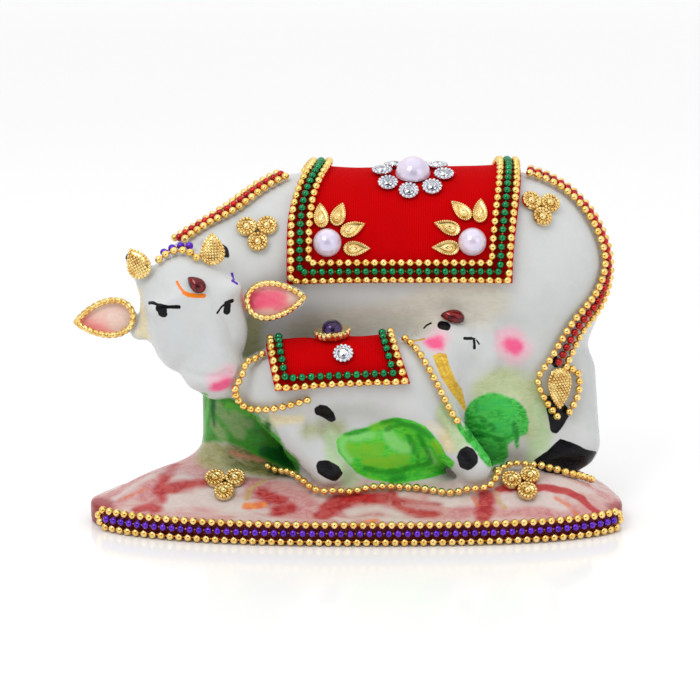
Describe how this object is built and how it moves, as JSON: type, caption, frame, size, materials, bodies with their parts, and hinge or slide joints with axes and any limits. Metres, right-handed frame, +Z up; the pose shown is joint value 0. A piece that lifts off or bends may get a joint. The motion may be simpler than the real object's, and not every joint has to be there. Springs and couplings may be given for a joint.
{
  "type": "kamdhenu cow statue",
  "caption": "Small cast souvenir statue of a cow suckling her calf on an oval base, dressed in velvet cloths, bead rows and stones.",
  "frame": {"origin": "on the ground under the middle of the whole figure with its base", "axes": "+Z up, +X from the cow's head to her tail, the decorated front with the calf towards -Y"},
  "size_m": [0.1554, 0.078, 0.1031],
  "materials": {
    "glazed_cast": "painted and lacquered",
    "velvet": "velvet pile",
    "gold_trim": "bright plated",
    "green_beads": "metallic",
    "purple_beads": "metallic",
    "red_beads": "metallic",
    "pearl": "pearl",
    "silver_stone": "mirror backed",
    "garnet_stone": "faceted"
  },
  "bodies": {
    "root": {"statue": "glazed_cast", "cow_cloth": "velvet", "calf_cloth": "velvet", "cow_hem_outer_gold": "gold_trim", "cow_hem_inner_gold": "gold_trim", "calf_hem_gold": "gold_trim", "neck_gold_near": "gold_trim", "neck_gold_far": "gold_trim", "tail_gold_near": "gold_trim", "tail_gold_far": "gold_trim", "crown_gold": "gold_trim", "calf_rump_strand": "gold_trim", "calf_neck_strand": "gold_trim", "ground_strand": "gold_trim", "base_gold": "gold_trim", "calf_top_stone": "gold_trim", "left_horn_pad": "gold_trim", "right_horn_pad": "gold_trim", "tail_pad": "gold_trim", "left_ear_ring": "gold_trim", "right_ear_ring": "gold_trim", "shoulder_trefoil": "gold_trim", "rump_trefoil": "gold_trim", "ground_trefoil_left": "gold_trim", "ground_trefoil_right": "gold_trim", "left_drop_1": "gold_trim", "left_drop_2": "gold_trim", "left_drop_3": "gold_trim", "left_drop_4": "gold_trim", "right_drop_1": "gold_trim", "right_drop_2": "gold_trim", "right_drop_3": "gold_trim", "right_drop_4": "gold_trim", "silver_stone_1": "silver_stone", "silver_stone_2": "silver_stone", "silver_stone_3": "silver_stone", "silver_stone_4": "silver_stone", "silver_stone_5": "silver_stone", "silver_stone_6": "silver_stone", "silver_stone_7": "silver_stone", "silver_stone_8": "silver_stone", "calf_side_stone": "silver_stone", "cow_hem_green": "green_beads", "calf_hem_green": "green_beads", "base_purple": "purple_beads", "crown_purple": "purple_beads", "neck_red": "red_beads", "tail_red": "red_beads", "top_pearl": "pearl", "left_pearl": "pearl", "right_pearl": "pearl", "forehead_stone": "garnet_stone", "calf_forehead_stone": "garnet_stone"}
  },
  "joints": []
}
